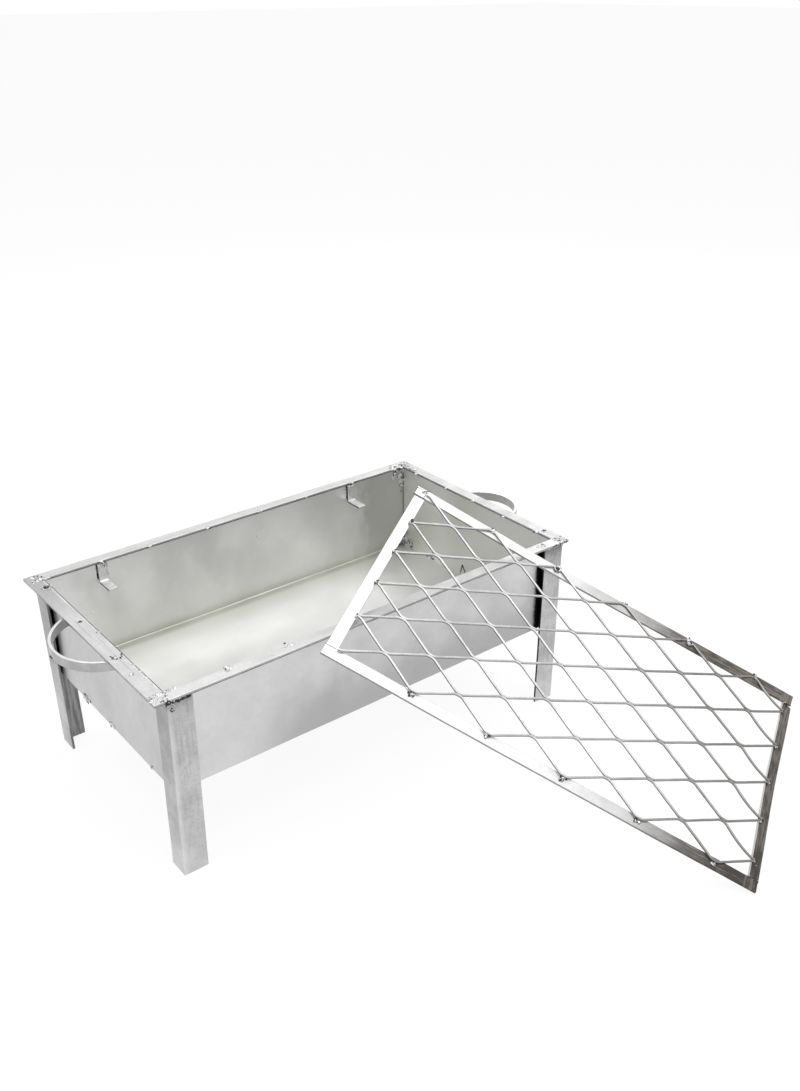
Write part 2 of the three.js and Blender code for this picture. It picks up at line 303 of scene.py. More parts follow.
class Shader(Nodes):
    """A metal's material, painted layer over layer."""

    def __init__(self, name):
        self.material = bpy.data.materials.new(name)
        self.material.use_nodes = True
        super().__init__(self.material.node_tree)
        self.surface = self.new("BsdfPrincipled")
        self.show("OutputMaterial", Field(self, self.surface.outputs["BSDF"]))
        coordinates = self.new("TexCoord").outputs
        self.place = Field(self, coordinates["Object"])
        self.normal = Field(self, coordinates["Normal"])
        self.length = self.along(CORNER, RIGHTWARD)
        self.depth = self.along(CORNER, BACKWARD)
        self.height = self.along(CORNER, UPWARD)

    def noise(self, feature_mm, detail=3, roughness=0.55, distortion=0, at=None):
        """Cloudy noise from 0 to 1 whose blotches are about feature_mm across."""
        inputs = {"Vector": at or self.place, "Scale": 1 / (feature_mm * MM)}
        inputs |= {"Detail": detail, "Roughness": roughness, "Distortion": distortion}
        return self.add("TexNoise", "Fac", inputs)

    def wander(self, feature_mm, reach):
        """Noise about zero, to make a border wander by up to half the reach either way."""
        return (self.noise(feature_mm) - 0.5) * reach

    def crystals(self, feature_mm):
        """A grey level for each crystal of zinc, about feature_mm across."""
        inputs = {"Vector": self.place, "Scale": 1 / (feature_mm * MM)}
        colour = self.add("TexVoronoi", "Color", inputs)
        return self.add("SeparateColor", "Red", {"Color": colour})

    def stretched(self, x, y, z):
        """Places scaled along each axis, for streaks."""
        return self.add("Mapping", "Vector", {"Vector": self.place, "Scale": (x, y, z)})

    def dot(self, vector, direction):
        return self.add("VectorMath", "Value", {0: vector, 1: direction}, operation="DOT_PRODUCT")

    def along(self, origin, direction):
        """Millimetres from a point along a direction."""
        return self.dot(self.place, direction / MM) - origin.dot(direction) / MM

    def facing(self, direction):
        """How far the surface faces a direction, from -1 to 1."""
        return self.dot(self.normal, direction)

    def drawn(self, lengthways, sideways):
        """Fine noise drawn out lengthways, from two distances in millimetres."""
        inputs = {"X": lengthways * (0.08 * MM), "Y": sideways * MM}
        return self.noise(2, detail=4, at=self.add("CombineXYZ", "Vector", inputs))

    def bump(self, height, depth_mm, below=None):
        inputs = {"Height": height, "Distance": depth_mm * MM, "Strength": 0.5}
        if below is not None:
            inputs["Normal"] = below
        return self.add("Bump", "Normal", inputs)

    def give(self, name, value):
        self.feed(self.surface.inputs[name], value)

    def paint(self, colour):
        self.colour = colour
        self.give("Base Color", colour)

    def cover(self, share, colour):
        """Lays a colour over what is there, by a share from 0 to 1."""
        self.paint(share.mix(self.colour, colour))


def grey(level, warm=0):
    """A linear grey, tilted a little to yellow where warm is above zero."""
    return (level, level * (1 - 0.3 * warm), level * (1 - warm), 1)


def brown(level):
    """Steel that past heat has coloured: a dark grey tilted to red-brown."""
    return (level, 0.9 * level, 0.81 * level, 1)


def zinc(
    name, pale, dark, cloud_mm, spangle_mm=3, smooth=0.3, rough=0.5, grime=0.2, relief=1, metallic=0.85
):
    """Galvanised steel: soft clouds, faint crystals, scattered dull spots and uneven gloss."""
    shader = Shader(name)
    clouds = shader.noise(cloud_mm, detail=4, roughness=0.5, distortion=0.3)
    shader.fine = shader.noise(6, detail=5, roughness=0.65)
    shader.tone = clouds * 0.75 + shader.fine * 0.18 + shader.crystals(spangle_mm) * 0.07
    shader.paint(shader.tone.ramp(0.36, 0.64).mix(grey(dark), grey(pale)))
    mottle = shader.noise(1.6, detail=3, roughness=0.7)
    shader.cover(mottle.ramp(0.35, 0.65, grime, 0), grey(dark * 0.55))
    spots = shader.noise(2.4, detail=2, roughness=0.7)
    shader.cover(spots.ramp(0.66, 0.72, 0, 2 * grime), grey(dark * 0.25, 0.15))
    shader.give("Metallic", metallic)
    shader.give("Roughness", shader.tone.ramp(0.25, 0.75, rough, smooth))
    pits = shader.bump(shader.noise(1, detail=3, roughness=0.7), 0.03 * relief)
    shader.give("Normal", shader.bump(shader.fine, 0.12 * relief, below=pits))
    return shader


def shade_bar_sides(shader, face, level, share):
    """Paints shade on the narrow cut sides of a bar, which face away from the given direction."""
    side = 1 - abs(shader.facing(face))
    shader.cover((side + shader.fine * 0.3).ramp(0.55, 0.95, 0, share), grey(level, 0.05))


def paint_floor(shader, wander):
    """The tray's floor, with painted shade along the front wall and at its right end, and paler to the
    back.
    """
    floor = shader.facing(UPWARD).ramp(0.5, 0.9)
    # Painted shade: darker by the front wall, paler to the back
    pale_back = (shader.depth + wander * 0.5).ramp(140, 258)
    shader.cover(floor, pale_back.mix(grey(0.62, 0.02), grey(0.94, 0.02)))
    # Painted shade towards the floor's right end
    shaded_end = (shader.length + wander).ramp(405, 460, 0, 0.4)
    shader.cover(shaded_end * floor, grey(0.5, 0.03))


def paint_outside(shader, wander, front, left, above):
    """The outer faces of the front wall, with painted shade low down and to the right, and of the left
    plate.
    """
    plate_tone = shader.tone.mix(grey(0.44), grey(0.71))
    wall_tone = shader.tone.mix(grey(0.54), grey(0.82))
    shader.cover(front.larger(left), front.mix(plate_tone, wall_tone))
    # Painted shade low down on the front wall, for the shadowed floor near its foot that it reflects
    low = (above + wander * 1.5).ramp(5, 105, 0.95, 0) * shader.length.ramp(70, 170)
    shader.cover(low * front, grey(0.43))
    shader.cover(above.ramp(85, 112, 0, 0.6) * left, grey(0.85))


def paint_back_wall(shader, wander, above):
    """The back wall's inner face, cloudy, with painted shade towards its right end in ragged patches, and
    darker towards its foot.
    """
    inner = shader.depth.ramp(BOX_WIDTH - 30, BOX_WIDTH - 18)
    clouds = shader.noise(55, detail=3, roughness=0.45, at=shader.stretched(1, 1, 0.6))
    cloud = clouds.ramp(0.35, 0.65).mix((0.47, 0.48, 0.45, 1), (0.74, 0.75, 0.72, 1))
    clouded = (shader.length + wander).ramp(34, 84, 0, 0.55) * inner
    shader.cover(clouded * shader.length.ramp(230, 330, 1, 0.6), cloud)
    # Painted shade towards the right end, where the corner and the grate shade the wall
    torn = shader.noise(16, detail=3, at=shader.stretched(1, 1, 0.35))
    ragged_end = shader.length + wander * 1.7 + (torn - 0.5) * 70
    shader.cover(ragged_end.ramp(428, 470, 0, 0.72) * inner, (0.4, 0.41, 0.385, 1))
    shader.cover((above + wander).ramp(0, 92, 0.54, 0) * inner, (0.46, 0.47, 0.43, 1))


def paint_right_plate(shader):
    """The right plate, duller to the front."""
    right_end = shader.length.ramp(RIGHT_PLATE_INNER - 1, RIGHT_PLATE_INNER - 0.5)
    pale_back = shader.depth.ramp(170, 230)
    shader.cover(right_end, pale_back.mix((0.66, 0.67, 0.635, 1), (0.84, 0.85, 0.81, 1)))


def paint_back_fold(shader, above):
    """A faint greenish cast by the back fold, and the duller fold itself."""
    from_fold = above + (BACK_FACE - shader.depth)
    behind = shader.depth.ramp(BOX_WIDTH - 80, BOX_WIDTH - 75)
    shader.cover(from_fold.ramp(4, 45, 0.25, 0) * behind, (0.6, 0.62, 0.54, 1))
    shader.cover(from_fold.ramp(1, 2.4, 0.75, 0) * behind, (0.5, 0.51, 0.44, 1))


def paint_slot_shadows(shader, front, left):
    """Painted shadow, near black, in the narrow slots between the sheet and two legs."""
    ragged = shader.noise(5, detail=4) * 6
    outward = shader.facing(FORWARD).ramp(0, 0.3)
    # Painted shadow on the front wall beside the front right leg, and on the left plate beside the back
    # left leg
    front_slot_shadow = (shader.length + ragged).ramp(493, 498) * (front * outward)
    left_slot_shadow = (shader.depth + ragged).ramp(276, 280) * left
    shader.cover(front_slot_shadow.larger(left_slot_shadow), grey(0.015))


def sheet_steel():
    """The tray's sheet, with its runs and casts, painted shadow beside two legs and under the rim, and its
    dark folded lower edge.
    """
    shader = zinc("galvanised_sheet", 0.92, 0.84, 80, spangle_mm=7, smooth=0.36, grime=0.03, relief=0.5)
    wander = shader.wander(45, 60)
    above = shader.along(place(0, 0, FLOOR_TOP), UPWARD)
    front = shader.depth.ramp(14, 16, 1, 0)
    left = shader.length.ramp(PLATE_OUTER + 0.5, PLATE_OUTER + 1, 1, 0)
    paint_floor(shader, wander)
    paint_outside(shader, wander, front, left, above)
    paint_back_wall(shader, wander, above)
    paint_right_plate(shader)
    paint_back_fold(shader, above)
    # Painted shadow, near black, along the sheet's top edge under the rim's bars
    shadow_under_rim = above.ramp(RIM_TOP - FLOOR_TOP - 1.5, RIM_TOP - FLOOR_TOP - 1)
    shader.cover(shadow_under_rim, grey(0.05))
    paint_slot_shadows(shader, front, left)
    low_edge = above.ramp(-1.6, 0.6, 1, 0) + shader.fine * 0.4
    shader.cover(low_edge.ramp(0.7, 1.3, 0, 0.7), grey(0.12, 0.05))
    return shader.material


def rim_steel():
    """The rim's flat bar: rolled lines, duller to the right, with painted shade on its cut sides and a
    painted shadow along their lower arris.
    """
    shader = zinc("bright_flat_bar", 0.74, 0.6, 22, smooth=0.32, grime=0.24)
    front = shader.depth.ramp(RIM_WIDTH - 0.5, RIM_WIDTH, 1, 0)
    back = shader.depth.ramp(BACK_FACE, BACK_FACE + 0.5)
    lines = front.larger(back).mix(
        shader.noise(2.2, detail=2, at=shader.stretched(1, 0.03, 1)),
        shader.noise(2.2, detail=2, at=shader.stretched(0.03, 1, 1)),
    )
    right = shader.length.ramp(RIGHT_EDGE - 1, RIGHT_EDGE)
    left = shader.length.ramp(RIM_WIDTH, RIM_WIDTH + 1, 1, 0)
    dull_shares = (
        lines.ramp(0.5, 0.68, 0, 0.35),
        shader.depth.ramp(60, 240, 0.8, 0.3) * right,
        shader.length.ramp(60, 260, 0, 0.5) * front,
        shader.depth.ramp(180, 260, 0.1, 0.66) * left,
    )
    for share in dull_shares:
        shader.cover(share, grey(0.36))
    # Painted shade on the rim bars' narrow sides
    shade_bar_sides(shader, UPWARD, 0.38, share=0.8)
    # Painted shadow, near black, along the lower arris of each bar, where it sits over the sheet
    low_edge = RIM_TOP - RIM_THICKNESS + 1.2
    arris = (shader.height + shader.fine * 1.6).ramp(low_edge, low_edge + 0.8, 0.95, 0)
    shader.cover(arris, grey(0.03))
    return shader.material


def paint_front_left_arris_highlight(shader):
    """A painted highlight: a pale band along the front left leg's arris, which leans with the leg."""
    low, _ = leg_corners("front_left")
    at_foot, at_top, _ = LEG_LEANS["front_left"]
    arris = shader.height * ((at_top - at_foot) / RIM_TOP) + (low.x / MM + at_foot)
    front_band = (shader.length - arris).ramp(0.5, 7, 1, 0)
    side_band = shader.depth.ramp(low.y / MM + 0.6, low.y / MM + 1.8, 0.55, 0)
    shader.cover(front_band * side_band, grey(0.76))


def leg_steel():
    """Angle iron: mottled zinc with faint upright streaks, pale at the front feet, with a painted highlight
    on one arris and painted shade on the left sides and under the rim.
    """
    shader = zinc("mottled_angle", 0.62, 0.5, 24, spangle_mm=3.5, smooth=0.36, rough=0.55, grime=0.3)
    streaks = shader.noise(2.8, detail=3, at=shader.stretched(1, 1, 0.1))
    shader.cover(streaks.ramp(0.46, 0.7) * shader.height.ramp(110, 200, 0.25, 0.5), grey(0.3))
    grain = shader.noise(1.2, detail=3, roughness=0.7)
    shader.cover(grain.ramp(0.55, 0.75, 0, 0.35), grey(0.85))
    shader.cover(shader.height.ramp(0, 70, 0.4, 0) * shader.depth.ramp(60, 80, 1, 0), grey(0.7))
    paint_front_left_arris_highlight(shader)
    # Painted shade on the left sides, deeper upwards, and on the back left leg's inner face
    leftward = shader.facing(LEFTWARD).ramp(0.5, 0.8)
    shader.cover(shader.height.ramp(30, 190, 0, 0.55) * leftward, grey(0.3))
    back_left = shader.depth.ramp(240, 245) * shader.length.ramp(60, 70, 0.85, 0)
    inner = back_left * shader.facing(FORWARD).ramp(0.5, 0.8)
    shader.cover(inner, streaks.ramp(0.35, 0.65).mix(grey(0.07), grey(0.25)))
    # Painted shadow, near black, on the front right leg's faces that look left into the slot beside the
    # wall
    shader.cover(leftward * shader.length.ramp(480, 485), grey(0.02))
    # Painted shade towards the top of each leg, under the rim
    shader.cover(shader.height.ramp(165, 206, 0, 0.45), grey(0.32))
    top = shader.height + shader.noise(5, detail=4) * 16
    shader.cover(top.ramp(RIM_TOP - 14, RIM_TOP + 4, 0, 0.75), grey(0.16))
    return shader.material


def bar_steel():
    """Handles: flat bar on edge, with painted shade on its upright faces, so that it is bright only along
    its top.
    """
    shader = zinc("handle_bar_steel", 0.82, 0.66, 26)
    # Painted shade on the faces that do not look up
    side = 1 - shader.facing(UPWARD)
    shader.cover(side.ramp(0.3, 0.9, 0, 0.75), shader.tone.mix(grey(0.2), grey(0.5)))
    return shader.material


def hanger_steel():
    """Hangers: narrow strips of pale flat bar with painted shade on their narrow sides."""
    shader = zinc("hanger_strip_steel", 0.82, 0.6, 12, grime=0.25)
    # Painted shade on the narrow sides, in the gaps beside the wall
    shader.cover(abs(shader.facing(RIGHTWARD)).ramp(0.5, 0.9, 0, 0.85), grey(0.08))
    return shader.material


def grate_rulers(shader):
    """Millimetres along the grate and across it."""
    return shader.along(GRATE_CORNER, GRATE_ALONG), shader.along(GRATE_CORNER, GRATE_ACROSS)


def burnt_share(shader, wander_mm):
    """How far past fires have browned the grate, from none at its upper end to 1 at its low end."""
    reach, across = grate_rulers(shader)
    burnt = reach + across.ramp(90, 245, 0, 78)
    return (burnt + shader.wander(50, wander_mm)).ramp(255, 460)


def grate_bar_steel():
    """The grate's bars: bright at the upper end, brown-grey from past heat at the low end."""
    shader = zinc("grate_bar_steel", 0.7, 0.62, 40, smooth=0.32, grime=0.07)
    # Painted shade on the bars' narrow sides
    shade_bar_sides(shader, GRATE_UP, 0.16, share=0.7)
    # Grain along each bar: the lower bar lies across the others
    reach, across = grate_rulers(shader)
    lower_edge = GRATE_LENGTH - GRATE_BAR_WIDTH
    lying = reach.ramp(lower_edge - 2, lower_edge - 1)
    grain = lying.mix(shader.drawn(reach, across), shader.drawn(across, reach)) + shader.wander(14, 0.5)
    grain = grain + across.ramp(20, 240, -0.12, 0) + lying * 0.07
    shader.cover(burnt_share(shader, 90), grain.ramp(0.36, 0.66).mix(brown(0.065), brown(0.19)))
    # The lower bar's inner side, lighter
    inner = shader.facing(GRATE_ALONG * -1).ramp(0.5, 0.8) * lying
    shader.cover(inner * 0.85, grey(0.8, 0.05))
    return shader.material


def strand_steel():
    """Expanded metal: pale faces, painted shade on the sheared sides, and brown-grey towards the low end.
    """
    shader = zinc("expanded_metal", 0.62, 0.48, 30, grime=0.25)
    shader.cover(burnt_share(shader, 140), shader.fine.mix(grey(0.16, 0.08), grey(0.36, 0.05)))
    # Painted shade on the strands' sheared sides
    shade_bar_sides(shader, GRATE_UP, 0.14, share=0.88)
    return shader.material


def weld_steel():
    """Weld metal: brighter skin with dark pits."""
    shader = zinc("weld_metal", 0.86, 0.5, 5, spangle_mm=1.5, smooth=0.22, grime=0.35)
    pits = shader.noise(1.6, detail=2, roughness=0.6)
    shader.cover(pits.ramp(0.54, 0.6, 0, 0.9), grey(0.04, 0.1))
    return shader.material


def scorched_steel():
    """Burnt scale and pits round the welds."""
    gloss = {"smooth": 0.5, "rough": 0.8, "metallic": 0.2}
    shader = zinc("scorched_scale", 0.06, 0.02, 4, spangle_mm=1.5, grime=0.3, **gloss)
    flecks = shader.noise(0.9, detail=2)
    shader.cover(flecks.ramp(0.62, 0.7, 0, 0.7), grey(0.4))
    return shader.material


# Mesh helpers


def solid_copy(node):
    """A node's solid as one closed shell with its flat faces whole."""
    shell = bmesh.new()
    shell.from_mesh(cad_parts[node].data)
    bmesh.ops.remove_doubles(shell, verts=shell.verts, dist=0.002 * MM)
    bmesh.ops.dissolve_limit(shell, angle_limit=math.radians(0.5), verts=shell.verts, edges=shell.edges)
    return shell


def round_edges(shell, radius_mm, sharper_than=30):
    """Rounds every edge that is sharper than the given angle."""
    limit = math.radians(sharper_than)
    edges = [edge for edge in shell.edges if edge.is_manifold and edge.calc_face_angle() > limit]
    rounding = {"segments": 2, "profile": 0.5, "affect": "EDGES", "clamp_overlap": True}
    bmesh.ops.bevel(shell, geom=edges, offset=radius_mm * MM, **rounding)


def slice_along(shell, direction, spacing_mm):
    """Cuts rings into the shell at even spacing along a direction, so that it can be bent."""
    reach = [vertex.co.dot(direction) for vertex in shell.verts]
    low, high = min(reach), max(reach)
    count = int((high - low) / (spacing_mm * MM))
    for index in range(1, count):
        cut = direction * (low + (high - low) * index / count)
        whole = shell.verts[:] + shell.edges[:] + shell.faces[:]
        bmesh.ops.bisect_plane(shell, geom=whole, plane_co=cut, plane_no=direction, dist=0.01 * MM)


def waver(shell, feature_mm, swing_mm, seed, pinned=None):
    """Moves every point a little by smooth noise, as hand-cut and hammered stock has it."""
    shift = Vector((seed * 7.3, seed * 3.1, seed * 5.7))
    for vertex in shell.verts:
        push = noise.noise_vector(vertex.co / (feature_mm * MM) + shift) * swing_mm * MM
        if pinned is not None:
            push *= pinned(vertex.co)
        vertex.co += push


def join_rings(shell, rings):
    """Closes a row of rings of points into a tube with flat ends."""
    for before, after in zip(rings, rings[1:]):
        for side in range(len(before)):
            beside = (side + 1) % len(before)
            shell.faces.new((before[side], before[beside], after[beside], after[side]))
    shell.faces.new(list(reversed(rings[0])))
    shell.faces.new(rings[-1])


def shown(name, shell):
    """A new object of the scene with the shell as its mesh."""
    mesh = bpy.data.meshes.new(name)
    shell.to_mesh(mesh)
    shell.free()
    piece = bpy.data.objects.new(name, mesh)
    bpy.context.scene.collection.objects.link(piece)
    return piece


def finished(shell, name, body, material, nodes=(), smooth_under=40):
    """Turns a shell into a piece that rides on its body and takes its finish, inside the solids' box."""
    low, high = cad_box
    for vertex in shell.verts:
        for axis in range(3):
            vertex.co[axis] = min(max(vertex.co[axis], low[axis]), high[axis])
    bmesh.ops.recalc_face_normals(shell, faces=shell.faces)
    piece = shown(name, shell)
    piece.data.shade_smooth()
    piece.data.set_sharp_from_angle(angle=math.radians(smooth_under))
    piece.modifiers.new("even_normals", "WEIGHTED_NORMAL").keep_sharp = True
    piece.data.materials.append(material)
    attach(piece, body)
    if nodes:
        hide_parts(*nodes)


# Pieces that stand for the solids


def bar_shell(node, run, edge_mm):
    """A bar or angle with softened edges, cut into rings along its run."""
    shell = solid_copy(node)
    round_edges(shell, edge_mm)
    slice_along(shell, run, RING_SPACING)
    return shell


def dress_rim(material):
    """The rim's four flat bars, with slightly uneven lines."""
    runs = {"front": RIGHTWARD, "back": RIGHTWARD, "left": BACKWARD, "right": BACKWARD}
    for seed, (side, run) in enumerate(runs.items()):
        shell = bar_shell(f"rim_strip_{side}", run, 0.45)
        waver(shell, WAVE_LENGTH, WAVE_SWING, seed + 1)
        finished(shell, f"rim_bar_{side}", "fire_box", material, [f"rim_strip_{side}"])


def dress_legs(material):
    """The four angle legs, set by hand a little out of upright."""
    for seed, side in enumerate(("front_left", "front_right", "back_left", "back_right")):
        shell = bar_shell(f"leg_{side}", UPWARD, 0.6)
        at_foot, at_top, wider = LEG_LEANS.get(side, (0, 0, 0))
        left, right = (corner.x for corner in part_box(f"leg_{side}"))
        for vertex in shell.verts:
            upward = vertex.co.z / (RIM_TOP * MM)
            across = (vertex.co.x - left) / (right - left)
            vertex.co.x += (at_foot + (at_top - at_foot) * upward + wider * across) * MM
        waver(shell, WAVE_LENGTH, WAVE_SWING, seed + 11)
        finished(shell, f"angle_leg_{side}", "fire_box", material, [f"leg_{side}"])


def between(table, at):
    """A value from a short table of places and values, read smoothly between its rows."""
    if at <= table[0][0]:
        return table[0][1]
    for (start, before), (end, after) in zip(table, table[1:]):
        if at <= end:
            way = (at - start) / (end - start)
            way = way * way * (3 - 2 * way)
            return before + (after - before) * way
    return table[-1][1]


def bend_bar(shell, run, side, shifts, twists, hinge):
    """Bends a straight bar sideways and twists it about a line, by tables of places along it."""
    for vertex in shell.verts:
        reach = (vertex.co - GRATE_CORNER).dot(run) / MM
        if twists:
            pivot = hinge + run * (vertex.co - hinge).dot(run)
            twist = Quaternion(run, math.radians(between(twists, reach)))
            vertex.co = pivot + twist @ (vertex.co - pivot)
        vertex.co += side * between(shifts, reach) * MM


def dress_grate_frame(material):
    """The grate's four bars, with the bends and the twist that welding left in them."""
    far_hinge = grate_place(0, GRATE_WIDTH - GRATE_BAR_WIDTH, GRATE_BAR_THICKNESS)
    bars = (
        ("long_bar_near", GRATE_ALONG, GRATE_ACROSS, NEAR_BEND, ()),
        ("long_bar_far", GRATE_ALONG, GRATE_ACROSS, FAR_BEND, FAR_TWIST),
        ("short_bar_upper", GRATE_ACROSS, GRATE_ALONG, UPPER_BEND, ()),
        ("short_bar_lower", GRATE_ACROSS, GRATE_ALONG, LOWER_BEND, ()),
    )
    for seed, (side, run, sideways, bends, twists) in enumerate(bars):
        shell = bar_shell(f"grate_{side}", run, 0.5)
        bend_bar(shell, run, sideways, bends, twists, far_hinge)
        waver(shell, WAVE_LENGTH, 0.2, seed + 21)
        finished(shell, f"frame_{side}", "grate", material, [f"grate_{side}"])


def dress_handles(material):
    """Both bowed handles, the left one's far end drawn out to its place."""
    for seed, side in enumerate(("left", "right")):
        shell = solid_copy(f"handle_{side}")
        round_edges(shell, 0.6, sharper_than=40)
        if side == "left":
            for vertex in shell.verts:
                depth = (vertex.co.y - CORNER.y) / MM
                vertex.co.y += HANDLE_STRETCH * max(0, depth - STRETCH_START) / STRETCH_LENGTH * MM
        waver(shell, 30, 0.25, seed + 31)
        finished(shell, f"bowed_handle_{side}", "fire_box", material, [f"handle_{side}"])


def dress_hangers(material):
    """The four bent strips that carry the grate when it lies in the box."""
    sides = ("front_left", "front_right", "back_left", "back_right")
    for seed, side in enumerate(sides):
        shell = solid_copy(f"grate_hanger_{side}")
        round_edges(shell, 0.4, sharper_than=40)
        waver(shell, 14, 0.3, seed + 41)
        finished(shell, f"hanger_{side}", "fire_box", material, [f"grate_hanger_{side}"])


def tray_slack(co):
    """How free the sheet is to wave at a point, from 0 at its held edges and its top to 1."""
    middle = place(BOX_LENGTH / 2, BOX_WIDTH / 2, 0)
    half = Vector((BOX_LENGTH / 2 - PLATE_OUTER, BOX_WIDTH / 2 - RIM_WIDTH, 0)) * MM
    held_x = 1 - min(1, abs(co.x - middle.x) / half.x)
    held_y = 1 - min(1, abs(co.y - middle.y) / half.y)
    top = (RIM_TOP * MM - co.z) / (SLACK_TOP * MM)
    free = min(1, held_x * SLACK_STEEPNESS)
    if held_y >= ON_WALL_SHARE:
        free *= min(1, held_y * SLACK_STEEPNESS)
    return free * max(0, min(1, top))


def dress_tray(material):
    """The folded tray, with the slack waves of thin sheet, and its end plates."""
    shell = solid_copy("tray_sheet")
    for direction, spacing in ((RIGHTWARD, 16), (BACKWARD, 16), (UPWARD, 14)):
        slice_along(shell, direction, spacing)
    waver(shell, SLACK_WAVE, SLACK_SWING, 51, tray_slack)
    finished(shell, "folded_tray", "fire_box", material, ["tray_sheet"])
    for side in ("left", "right"):
        shell = solid_copy(f"end_plate_{side}")
        finished(shell, f"tray_end_{side}", "fire_box", material, [f"end_plate_{side}"])


# Expanded metal


def strand_way(place_along, row):
    """The share of the way from a strand's near row to its far one, rounded where it bends."""
    turn = (place_along - START_LONG) / PITCH_LONG
    column = min(max(round(turn), 0), COLUMNS)
    off = abs(place_along - (START_LONG + column * PITCH_LONG))
    flat = BOND_LENGTH / 2
    out = off - flat + BEND_LENGTH
    if out <= 0:
        moved = 0
    elif out < 2 * BEND_LENGTH:
        moved = out * out / (4 * BEND_LENGTH)
    else:
        moved = out - BEND_LENGTH
    share = 0.5 * moved / (PITCH_LONG / 2 - flat)
    if (column + row) % 2 == 1:
        share = 1 - share
    # The last strands that run down to the lower bar are bowed
    last = COLUMNS - 1
    if turn > last and (last + row) % 2 == 1:
        share -= BOW_SHARE * math.sin(math.pi * min(1, turn - last))
    return max(0, share)


def strand_section():
    """A strand's section in shares of its width and thickness: a rectangle with its corners cut."""
    corners = ((-0.5, 0), (0.5, 0), (0.5, 1), (-0.5, 1))
    section = []
    for index, (across, up) in enumerate(corners):
        for next_across, next_up in (corners[index - 1], corners[(index + 1) % len(corners)]):
            section.append((across + (next_across - across) * CUT_SHARE, up + (next_up - up) * CUT_SHARE))
    return section


def strand_shell(shell, row):
    """Adds one zigzag strand with a rounded section, sloped as the expanding press leaves it."""
    jitter = Vector((row * 3.7, 0, 0))
    near = START_SHORT + row * PITCH_SHORT + (STRAND_WIDTH - STRAND_OVERLAP) / 2
    travel = PITCH_SHORT - STRAND_WIDTH + STRAND_OVERLAP
    slope = STRAND_RISE / STRAND_WIDTH
    steps = int((LOWER_CUT - UPPER_CUT) / STRAND_STEP)
    section = strand_section()
    rings = []
    for step in range(steps + 1):
        along = UPPER_CUT + (LOWER_CUT - UPPER_CUT) * step / steps
        share = strand_way(along, row)
        ahead = strand_way(min(along + STRAND_REACH, LOWER_CUT), row)
        behind = strand_way(max(along - STRAND_REACH, UPPER_CUT), row)
        steep = (ahead - behind) * travel
        reach = STRAND_WIDTH * math.sqrt(1 + steep * steep)
        centre = near + share * travel
        level = slope * STRAND_WIDTH * (0.5 - share) + STRAND_RISE
        ring = []
        for across, up in section:
            shift = across * reach
            rise = MESH_BASE + level + slope * shift + up * STRAND_THICKNESS
            spot = Vector((along, centre, up * 3 + across)) / STRAND_WAVE
            uneven = noise.noise_vector(spot + jitter) * STRAND_SWING
            point = mesh_place(along + uneven.x, centre + shift + uneven.y, rise + 0.5 * uneven.z)
            ring.append(shell.verts.new(point))
        rings.append(ring)
    join_rings(shell, rings)


def dress_mesh(material):
    """The whole expanded sheet, strand by strand."""
    shell = bmesh.new()
    for row in range(ROWS):
        strand_shell(shell, row)
    finished(shell, "expanded_sheet", "grate", material, ["grate_mesh"], smooth_under=50)


# Weld metal


